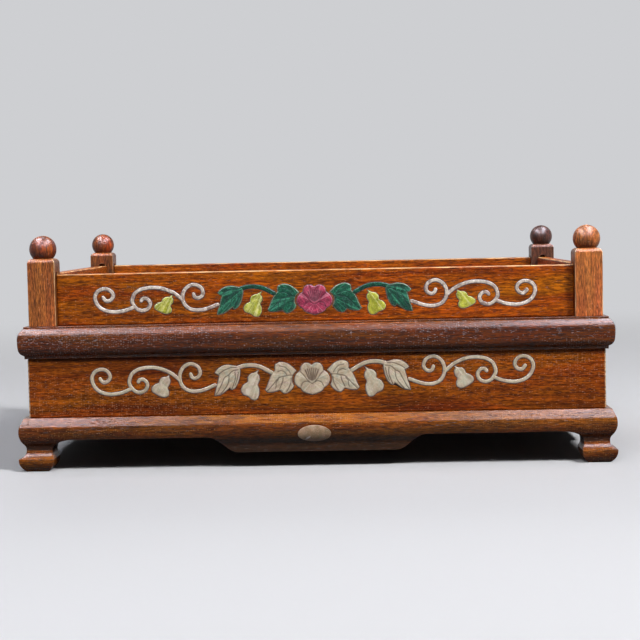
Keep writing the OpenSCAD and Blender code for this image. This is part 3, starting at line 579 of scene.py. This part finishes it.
def makeRail(i, side):
    face, reach = railFace(i), postFace if i % 2 == 0 else postFaceY
    plan = [(-reach, -face), (reach, -face), (reach, railT - face), (-reach, railT - face)]
    bm = board(plan, zRail, zRailTop, boards["railEase"], False)
    wornAndLit = bm.faces.layers.float["arris"]
    for f in bm.faces:
        if abs(f.normal.z) < boards["upright"]:  # no wear at the ends, where the posts stand
            f[wornAndLit] = 0.0
    root, stop = boards["tongueRoot"], boards["tongueStop"]
    size = (tongueL + root, boards["tongueT"], zRailTop - zRail - stop)
    for end in (-1, 1):
        block = bmesh.ops.create_cube(bm, size=1.0)["verts"]
        bmesh.ops.scale(bm, vec=size, verts=block)
        middle = (end * (reach + (tongueL - root) / 2), (railT - 2 * face) / 2, (zRail + zRailTop - stop) / 2)
        bmesh.ops.translate(bm, vec=middle, verts=block)
    bmesh.ops.transform(bm, matrix=turn(i), verts=bm.verts)
    settle(bm, camel("rail", side), woods["railWood"], "tray", f"rail_{side}", i % 2)


for i, side in enumerate(sides):
    makeWall(i, side)
    makeRail(i, side)
print("boards made")


# the inlay, drawn in millimetres for its right half about the middle of the design
design = {
    "scrollW": 2.0, "stemW": 2.3, "depth": 1.2, "mastic": 0.38, "cell": 0.36, "outlineSteps": 3, "lineSteps": 4,
    "stripCrown": 0.2, "pieceCrown": 0.3, "rim": 0.1, "soft": 1.0, "lineWide": 0.27, "lineDeep": 0.12,
    "upperMid": 14.0, "lowerMid": 22.0, "frontShift": -2.3, "frontTurn": 0.8, "lowerTall": 1.08, "gourdTall": 1.12,
    "brownWide": 0.3, "tanWide": 0.8, "tanShare": 0.75, "leafStreaks": 5.0, "flowerStreaks": 3.0,
    "shoulder": (0.7, 0.9), "tips": ((0.45, 0.9), (0.85, 0.5)), "bedProud": 0.03, "bedStep": 0.004, "bedDeep": 0.6,
    "tileLength": 8.0, "tileStep": 0.37, "plainTile": 0.1, "pieceTile": 0.21, "halfTile": 0.5,
}
# points that a piece's streaks run away from
hearts = {"leafInner": (10, 1), "leafOuter": (43, 6.5), "gourdInner": (30, 8), "gourdOuter": (84, 8),
          "flower": (0, -2.8)}
scrollCurves = [
    [(73.3, 3.8), (72.6, 2.1), (71, 1.3), (68.7, 2.1), (67.5, 4.5), (68.6, 7.5), (71.2, 9.1), (74.2, 9.4),
     (77.4, 7.8), (79.4, 5.1), (80, 2.1), (79.4, -1.2), (77.3, -4.1), (74, -5.7), (70, -6), (65.3, -5.2),
     (58.7, -2.8)],
    [(105.3, 0.2), (104.2, 1.5), (102, 1.5), (100.1, -0.3), (99.9, -2.5), (101.3, -4.6), (104.3, -5.7),
     (107.3, -5), (109.3, -3.1), (110.7, -0.5), (110.3, 2.3), (108.7, 5.1), (105.4, 7.1), (101.3, 8),
     (96.7, 8.2), (92.7, 7.6), (88.7, 6.3), (85.3, 4.7), (82.7, 2.8), (80.3, 0.8)],
    [(128.4, 2.7), (127.2, 1.1), (125.8, 0.5), (123.6, 1.3), (122.3, 3.5), (123, 5.9), (125.6, 7.7), (128.8, 7.8),
     (131.8, 6.3), (133.3, 3.3), (132.8, 0.1), (130.7, -3.1), (127.2, -5.2), (122.7, -6.2), (118.7, -6),
     (114.7, -5.3), (110.2, -3.6)],
]
stemCurve = [(44.6, 6.5), (40.5, 7.5), (36, 7.6), (32, 6.9), (28.5, 5.4), (24.2, 3.1)]
leafInner = [
    [(22.2, 4.4), (22.3, 6), (21.9, 7.7)],
    [(21.9, 7.7), (19.2, 8.8), (16, 8.5), (12.8, 6.9), (9.3, 3.7)],
    [(9.3, 3.7), (11.6, 1.2), (12.1, -1.8), (11.1, -4.7)],
    [(11.1, -4.7), (12.2, -6.3), (14.2, -8), (17.2, -8.8), (19.6, -6.7)],
    [(19.6, -6.7), (23.2, -7.7), (26.8, -7.8), (28.4, -6.5)],
    [(28.4, -6.5), (27.3, -4.3), (25.7, -0.7), (24.4, 1.9), (22.2, 4.4)],
]
leafOuter = [
    [(56, 2.6), (57.4, 3.1), (58.6, 4.1)],
    [(58.6, 4.1), (57, 6), (54, 7.7), (50.5, 8.3), (46.7, 7.6), (43.6, 7)],
    [(43.6, 7), (43.2, 5), (43.7, 1.7), (44.8, -1.9), (46.6, -4.7), (48.6, -5.9)],
    [(48.6, -5.9), (49.4, -5.3), (49.8, -4.5)],
    [(49.8, -4.5), (52.2, -6.3), (55.4, -8.3), (59.2, -8.9)],
    [(59.2, -8.9), (58.7, -6.4), (57.7, -3.6), (56.9, -0.6), (56, 2.6)],
]
gourdInner = [[(31.9, 4.5), (33.6, 3.5), (35.2, 2.9), (37.2, 2.4), (38.8, 0.7), (39, -1.5), (41.6, -2.9),
               (43.1, -5.3), (42, -7.7), (39, -8.8), (36.6, -10.4), (34, -10.5), (32.4, -8.1), (32.2, -5.1),
               (33, -3.1), (31.7, -0.7), (31.9, 1.5), (32.9, 2.7), (31.9, 4.5)]]
gourdOuter = [[(86.2, 3.3), (88, 2.4), (90.5, 2.2), (92.2, 0.9), (92.8, -0.5), (95.2, -1.3), (97.2, -2.9),
               (97, -4.8), (94.6, -6.3), (91.8, -7.6), (89.2, -7.9), (87.2, -6.9), (86.9, -4.9), (87.6, -3.1),
               (86.2, -1.3), (85.8, 0.7), (86.4, 1.9), (86.2, 3.3)]]
petals = [
    [(0, 6.7), (2.2, 7.9), (4.6, 7.7), (6.4, 6.1), (6.9, 3.8)],
    [(6.9, 3.8), (9.6, 1.7), (10.8, -1.3), (9.7, -4.3), (7, -6.2)],
    [(7, -6.2), (6, -7.7), (3.4, -9), (0, -9.9)],
]
flower = petals + [[(-x, z) for x, z in reversed(curve)] for curve in reversed(petals)]
# lines cut into the shell by the engraver
leafInnerLines = [
    [(10.7, 1.2), (14.1, 1.3), (17.6, 0.7), (20.1, 0.0), (22.6, -2.5), (25.1, -5.1), (27.2, -7.0)],
    [(12.9, 2.4), (14.2, 4.1), (16.4, 6.0), (19.5, 6.7)], [(15.2, 1.5), (16.4, 3.2), (18.5, 4.0), (20.7, 3.5)],
    [(12.6, -0.2), (12.9, -2.8), (14.3, -5.9), (15.6, -7.6)], [(17.5, 0.1), (17.9, -2.1), (19.1, -4.7), (19.7, -5.8)],
    [(20.3, -0.9), (21.8, -2.6), (21.9, -4.8), (22.5, -5.9)],
]
leafOuterLines = [
    [(44.9, 6.7), (48.8, 6.6), (53.0, 5.2), (56.0, 3.4)],
    [(44.4, 5.3), (47.9, 4.7), (50.4, 2.5), (52.9, 1.1), (54.5, -2.0), (57.0, -6.4), (58.4, -8.2)],
    [(50.1, 2.1), (50.7, -1.8), (52.7, -5.0), (55.4, -7.8)], [(46.5, 4.1), (46.4, 0.5), (47.6, -3.0), (48.6, -5.2)],
    [(44.4, 4.0), (45.1, 0.5), (46.7, -3.4)],
]
stamens = [[(0.5, -1.7), (1.25, 4.6)], [(1.1, -1.5), (2.6, 4.5)], [(1.8, -1.2), (3.9, 3.9)]]
folds = [[(7.2, 3.3), (5.5, 1.8), (3.5, -0.8), (1.5, -2.9)],
         [(6.8, -5.2), (5.6, -3.0), (3.2, -2.3), (1.3, -3.1), (0.1, -3.7)]]
flowerFan = stamens + [[(-x, z) for x, z in line] for line in stamens] + [[(0, -2.0), (0, 4.8)]]
flowerLines = flowerFan + folds + [[(-x, z) for x, z in line] for line in folds]


def smoothRun(points, steps):  # a smooth open curve through the points, its last point left out
    p = np.array([points[0], *points, points[-1]], float)
    out = []
    for k in range(1, len(p) - 2):
        a, b, c, d = p[k - 1:k + 3]
        for t in np.arange(steps) / steps:
            bend = (2 * a - 5 * b + 4 * c - d) * t ** 2 + (3 * b - a - 3 * c + d) * t ** 3
            out.append(0.5 * (2 * b + (c - a) * t + bend))
    return out


def wholeRun(points):
    return np.array([*smoothRun(points, design["lineSteps"]), points[-1]], float)


def followed(points):  # the curve, the way along it and the way aside
    line = wholeRun(points)
    along = np.gradient(line, axis=0)
    along /= np.linalg.norm(along, axis=1)[:, None]
    return line, along, np.stack([-along[:, 1], along[:, 0]], axis=1)


def outlineOf(curves):
    ring = np.array([q for curve in curves for q in smoothRun(curve, design["outlineSteps"])])
    nxt = np.roll(ring, -1, axis=0)
    if np.sum(ring[:, 0] * nxt[:, 1] - ring[:, 1] * nxt[:, 0]) < 0:
        ring = ring[::-1]
    return ring


def grownRing(ring, d):
    along = np.roll(ring, -1, axis=0) - np.roll(ring, 1, axis=0)
    along /= np.linalg.norm(along, axis=1)[:, None]
    return ring + d * np.stack([along[:, 1], -along[:, 0]], axis=1)


def awayFrom(points, lines):  # distance of each point from the nearest stretch of the lines
    best = np.full(len(points), 1e9)
    for line in lines:
        for a, b in zip(line[:-1], line[1:]):
            ab = b - a
            t = np.clip(((points - a) @ ab) / max(ab @ ab, 1e-12), 0, 1)
            best = np.minimum(best, np.linalg.norm(points - a - t[:, None] * ab, axis=1))
    return best


def nearTo(away, wide):  # 1 on a line, falling off over a width
    return np.exp(-(away / wide) ** 2)


# a piece of shell: its outline cut into small cells, slightly crowned, engraved and streaked away from a point
def carvedShell(curves, lines, heart, streaks, tan=()):
    ring = outlineOf(curves)
    bm = bmesh.new()
    bm.faces.new([bm.verts.new((x, 0, z)) for x, z in ring])
    for k in (0, 2):
        low, high = ring[:, k // 2].min(), ring[:, k // 2].max()
        for at in np.arange(low + design["cell"] / 2, high, design["cell"]):
            spot, across = Vector((0, 0, 0)), Vector((0, 0, 0))
            spot[k], across[k] = at, 1
            bmesh.ops.bisect_plane(bm, geom=bm.verts[:] + bm.edges[:] + bm.faces[:], dist=0.001,
                                   plane_co=spot, plane_no=across)
    flat = np.array([(v.co.x, v.co.z) for v in bm.verts])
    rim = awayFrom(flat, [np.vstack([ring, ring[:1]])])
    groove = nearTo(awayFrom(flat, [wholeRun(line) for line in lines]), design["lineWide"])
    swell = 1 - (1 - np.clip(rim / design["soft"], 0, 1)) ** 2
    height = design["rim"] + (design["pieceCrown"] - design["rim"]) * swell - design["lineDeep"] * groove
    fan = np.arctan2(flat[:, 1] - heart[1], np.abs(flat[:, 0] - heart[0])) * streaks
    brown = nearTo(rim, design["brownWide"])
    if tan:  # stamens on a darker ground
        ground = nearTo(awayFrom(flat, [np.array(line) for line in tan]), design["tanWide"])
        brown = np.maximum(brown, design["tanShare"] * ground)
    shown = {"engraved": np.clip(groove, 0, 1), "edge": brown, "stripe": fan}
    layers = {name: bm.verts.layers.float.new(name) for name in shown}
    for n, v in enumerate(bm.verts):
        v.co.y = -height[n]
        for name, layer in layers.items():
            v[layer] = shown[name][n]
    edge = [e for e in bm.edges if e.is_boundary]
    back = bmesh.ops.extrude_edge_only(bm, edges=edge)["geom"]
    for v in only(bmesh.types.BMVert, back):
        v.co.y = design["depth"]
    bmesh.ops.contextual_create(bm, geom=only(bmesh.types.BMEdge, back))
    for e in edge:
        e.smooth = False
    return bm


# a strip of shell along a curve, made by drawing its section along it
def shellStrip(points, width, tiles):
    line, along, aside = followed(points)
    half, crown = width / 2, design["stripCrown"]
    inner, lower = design["shoulder"]
    section = [(-half, design["depth"]), (-half, -design["rim"]), (-inner * half, -crown * lower), (0, -crown),
               (inner * half, -crown * lower), (half, -design["rim"]), (half, design["depth"])]
    bm = bmesh.new()
    tile = bm.faces.layers.float.new("tile")

    def place(verts, k, narrow, push):
        for v, (s, y) in zip(verts, section):
            x, z = line[k] + aside[k] * s * narrow + along[k] * push
            v.co = (x, y, z)

    row = [bm.verts.new() for _ in section]
    chain = [bm.edges.new((a, b)) for a, b in zip(row[:-1], row[1:])]
    stations = ([(0, narrow, -push * half) for narrow, push in design["tips"]]
                + [(k, 1.0, 0.0) for k in range(len(line))]
                + [(len(line) - 1, narrow, push * half) for narrow, push in reversed(design["tips"])])
    place(row, *stations[0])
    bm.faces.new(row)
    walked = 0.0
    for k, narrow, push in stations[1:]:
        made = bmesh.ops.extrude_edge_only(bm, edges=chain)["geom"]
        ahead = {}
        for v in only(bmesh.types.BMVert, made):
            ahead[next(e.other_vert(v) for e in v.link_edges if e.other_vert(v) in row)] = v
        row = [ahead[v] for v in row]
        chain = [e for e in only(bmesh.types.BMEdge, made) if e.verts[0] in row and e.verts[1] in row]
        place(row, k, narrow, push)
        walked += np.linalg.norm(line[k] - line[max(k - 1, 0)]) if push == 0 else 0
        count = math.floor(walked / design["tileLength"])
        for face in only(bmesh.types.BMFace, made):
            face[tile] = count * design["tileStep"] if tiles else design["plainTile"]
    bm.faces.new(row)
    bmesh.ops.recalc_face_normals(bm, faces=bm.faces)
    return bm


def flatShape(ring, low, high):  # a thin flat layer between two depths
    bm = bmesh.new()
    face = bm.faces.new([bm.verts.new((x, high, z)) for x, z in ring])
    made = bmesh.ops.extrude_face_region(bm, geom=[face])["geom"]
    for v in only(bmesh.types.BMVert, made):
        v.co.y = low
    bmesh.ops.recalc_face_normals(bm, faces=bm.faces)
    return bm


def ribbonRing(points, width):
    line, along, aside = followed(points)
    half = width / 2
    return np.vstack([line + aside * half, line[-1:] + along[-1:] * half, (line - aside * half)[::-1],
                      line[:1] - along[:1] * half])


def taller(curves, s):
    return [[(x, z * s) for x, z in curve] for curve in curves]


# patterns of shell and of the dark beds under it, all stretched upright by tall, the gourds by long besides
def cutPatterns(level, tall, long):
    scrolls, stem = taller(scrollCurves, tall), taller([stemCurve], tall)[0]
    inner, outer, bloom = taller(leafInner, tall), taller(leafOuter, tall), taller(flower, tall)
    gourds = taller(gourdInner, tall * long), taller(gourdOuter, tall * long)
    streaks = design["leafStreaks"]
    shell = {
        "scrolls": [shellStrip(c, design["scrollW"], True) for c in scrolls],
        "leaves": [carvedShell(inner, taller(leafInnerLines, tall), hearts["leafInner"], streaks),
                   carvedShell(outer, taller(leafOuterLines, tall), hearts["leafOuter"], streaks),
                   shellStrip(stem, design["stemW"], False)],
        "gourds": [carvedShell(gourds[0], [], hearts["gourdInner"], streaks),
                   carvedShell(gourds[1], [], hearts["gourdOuter"], streaks)],
        "flower": [carvedShell(bloom, taller(flowerLines, tall), hearts["flower"], design["flowerStreaks"],
                               taller(flowerFan, tall))],
    }
    m = design["mastic"]
    rings = {
        "scrolls": [ribbonRing(c, design["scrollW"] + 2 * m) for c in scrolls],
        "leaves": [grownRing(outlineOf(inner), m), grownRing(outlineOf(outer), m),
                   ribbonRing(stem, design["stemW"] + 2 * m)],
        "gourds": [grownRing(outlineOf(g), m) for g in gourds],
        "flower": [grownRing(outlineOf(bloom), m)],
    }
    for bm in shell["gourds"]:
        ripe = bm.faces.layers.float.new("ripe")
        for face in bm.faces:
            face[ripe] = 1.0
    patterns = {kind: [meshOf(bm, f"{level}Shell") for bm in made] for kind, made in shell.items()}
    beds = {}
    for kind, made in rings.items():  # beds that cross lie a little apart
        proud = [-design["bedProud"] - design["bedStep"] * k for k in range(len(made))]
        beds[kind] = [meshOf(flatShape(ring, top, design["bedDeep"]), f"{level}Bed")
                      for ring, top in zip(made, proud)]
    return patterns, beds


patterns = {"upper": cutPatterns("upper", 1.0, 1.0),
            "lower": cutPatterns("lower", design["lowerTall"], design["gourdTall"])}
print("inlay patterns cut")


def join(bm, part):
    mesh = meshOf(part, "joined")
    bm.from_mesh(mesh)
    bpy.data.meshes.remove(mesh)


# gathers meshes on one side, in both halves or one, and moves them to their place
def gather(meshes, place, halves=(1, -1)):
    bm = bmesh.new()
    for half in halves:
        for n, mesh in enumerate(meshes):
            part = bmesh.new()
            part.from_mesh(mesh)
            if part.faces.layers.float.get("tile") is None:
                tile = part.faces.layers.float.new("tile")
                for face in part.faces:
                    face[tile] = design["pieceTile"] * n + (design["halfTile"] if half < 0 else 0.0)
            if half < 0:
                bmesh.ops.scale(part, vec=(-1, 1, 1), verts=part.verts)
                bmesh.ops.reverse_faces(part, faces=part.faces)
            join(bm, part)
    bmesh.ops.transform(bm, matrix=place, verts=bm.verts)
    return bm


def wholeDesign(group, place):
    bm = gather([mesh for kind in ("scrolls", "leaves", "gourds") for mesh in group[kind]], place)
    join(bm, gather(group["flower"], place, (1,)))
    return bm


upperKinds = (("scrolls", "whiteShell", "white_shell"), ("leaves", "leafShell", "leaf_shell"),
              ("gourds", "gourdShell", "gourd_shell"), ("flower", "flowerShell", "flower_shell"))
for i, side in enumerate(sides):
    longSide = i % 2 == 0
    halfOut = halfD if longSide else halfW
    upper = turn(i) @ Matrix.Translation((0, -railFace(i), zRail + design["upperMid"] * mm)) @ Matrix.Scale(mm, 4)
    askew = Matrix.Identity(4)
    if side == "front":
        askew = Matrix.Translation((design["frontShift"] * mm, 0, 0))
        askew = askew @ Matrix.Rotation(-math.radians(design["frontTurn"]), 4, "Y")
    lower = turn(i) @ Matrix.Translation((0, -halfOut, zBase + design["lowerMid"] * mm))
    lower = lower @ askew @ Matrix.Scale(mm, 4)
    for level, place, body in (("upper", upper, "tray"), ("lower", lower, "box")):
        # each half of a short side has one scroll of three and one gourd of two
        shell, beds = ({kind: made if longSide or kind == "leaves" else made[:1] for kind, made in group.items()}
                       for group in patterns[level])
        if level == "upper":
            for kind, look, slot in upperKinds:
                bm = gather(shell[kind], place, (1,) if kind == "flower" else (1, -1))
                settle(bm, camel("upper", kind, side), shells[look], "tray", f"upper_{kind}_{side}")
        else:
            settle(wholeDesign(shell, place), camel("lowerInlay", side), shells["paleShell"], "box",
                   f"lower_inlay_{side}")
        settle(wholeDesign(beds, place), camel(level, "mastic", side), darkMastic, body,
               smooth=False)
print("inlay laid on", len(sides), "sides")

plaque = {"sharp": 50, "round": 0.25 * mm}


# the oval on the front apron, rounded over at its rim
def ovalPlaque():
    bm = cadMesh("oval_plaque")
    roundEdges(bm, plaque["sharp"], plaque["round"])
    settle(bm, "ovalPlaque", shells["plaqueShell"], "box", "oval_plaque")


ovalPlaque()

# floor, light and camera
studio = {
    "floor": (184, 184, 186), "floorGlow": (22, 21, 21), "floorHalf": 14.0, "floorMatte": 0.8, "floorGloss": 0.1,
    "sky": (206, 207, 210), "skyLight": 0.06, "fade": (0.5, 1.5), "dusk": (0.2, 0.5, 1.0, 0.3),
    "lamps": {"lampLeft": ((-0.3, -1.0, 1.35), (0.6, 0.5), 9.5),
              "lampRight": ((1.3, -1.2, 1.85), (0.5, 0.5), 72.0),
              "lampBehind": ((-0.3, 1.5, 1.1), (0.9, 0.6), 12.0)},
    "gleams": {"gleamLeft": ((-0.62, -0.65, 1.15), (0.5, 2.1), 135.0),
               "gleamRight": ((0.54, -0.65, 1.15), (0.5, 2.1), 135.0)},
    "aim": (0, 0, 0.07), "gleamTone": (0.82, 0.86, 1.0),
}
cameraLook = {"place": (0.0244, -1.00185, 0.1439), "yaw": -1.37, "pitch": 3.57, "roll": -1.18,
              "focal": 1471.7, "pixels": 640, "sensor": 36.0}


def seenDirectly(tree):  # rays from the eye, mirrored ones and those that pass through
    path = put(tree, "ShaderNodeLightPath").outputs
    mirrored = calc(tree, "MAXIMUM", path["Is Glossy Ray"], path["Is Transmission Ray"])
    return calc(tree, "MAXIMUM", path["Is Camera Ray"], mirrored)


# a pale floor that goes over into the pale sky some way off, and sends little light back up
def makeFloor():
    bm = bmesh.new()
    bmesh.ops.create_grid(bm, x_segments=1, y_segments=1, size=studio["floorHalf"])
    mesh = meshOf(bm, "paleFloor")
    floor = newObject("paleFloor", mesh)
    material, tree, skin = newMaterial("paleFloor")
    seen = seenDirectly(tree)
    feedAll(tree, skin, {"Base Color": mixed(tree, seen, tone(*studio["floorGlow"]), tone(*studio["floor"])),
                         "Roughness": studio["floorMatte"], "Specular IOR Level": studio["floorGloss"]})
    far = times(tree, spread(tree, length(tree, objectPlace(tree)), *studio["fade"]), seen)
    glow = put(tree, "ShaderNodeEmission", {"Color": tone(*studio["sky"])})
    blend = put(tree, "ShaderNodeMixShader", {0: far, 1: skin.outputs[0], 2: glow.outputs[0]})
    feed(tree, tree.nodes["Material Output"].inputs["Surface"], blend.outputs[0])
    mesh.materials.append(material)


def makeSky():
    world = bpy.data.worlds.new("softSky")
    bpy.context.scene.world = world
    world.use_nodes = True
    tree = world.node_tree
    way = put(tree, "ShaderNodeTexCoord").outputs["Generated"]
    height = put(tree, "ShaderNodeSeparateXYZ", {0: way}).outputs["Z"]
    seen = spread(tree, height, *studio["dusk"])  # the sky dims overhead
    strength = put(tree, "ShaderNodeMix", {0: seenDirectly(tree), 2: studio["skyLight"], 3: seen}, data_type="FLOAT")
    feedAll(tree, tree.nodes["Background"], {"Color": tone(*studio["sky"]), "Strength": strength.outputs[0]})


def makeLamps():
    for name, (spot, size, power) in (studio["lamps"] | studio["gleams"]).items():
        lamp = bpy.data.lights.new(name, "AREA")
        lamp.shape, lamp.size, lamp.size_y, lamp.energy = "RECTANGLE", *size, power
        holder = newObject(name, lamp)
        holder.location = spot
        if name in studio["gleams"]:  # long cool boxes overhead that only polished wood and shell show
            lamp.color = studio["gleamTone"]
            holder.visible_diffuse = False
        else:
            holder.rotation_euler = (Vector(studio["aim"]) - Vector(spot)).to_track_quat("-Z", "Y").to_euler()
            holder.visible_glossy = False


def makeCamera():
    yaw, pitch, roll = (math.radians(cameraLook[k]) for k in ("yaw", "pitch", "roll"))
    ahead = Vector((math.sin(yaw) * math.cos(pitch), math.cos(yaw) * math.cos(pitch), -math.sin(pitch)))
    right = Vector((math.cos(yaw), -math.sin(yaw), 0))
    up = right.cross(ahead)
    x = right * math.cos(roll) + up * math.sin(roll)
    y = up * math.cos(roll) - right * math.sin(roll)
    data = bpy.data.cameras.new("frontCamera")
    data.sensor_width = cameraLook["sensor"]
    data.lens = cameraLook["sensor"] * cameraLook["focal"] / cameraLook["pixels"]
    camera = newObject("frontCamera", data)
    turned = Matrix((x, y, -ahead)).transposed().to_4x4()
    camera.matrix_world = Matrix.Translation(cameraLook["place"]) @ turned
    bpy.context.scene.camera = camera


makeFloor()
makeSky()
makeLamps()
makeCamera()
bpy.context.scene.view_settings.view_transform = "Standard"
print("studio ready")
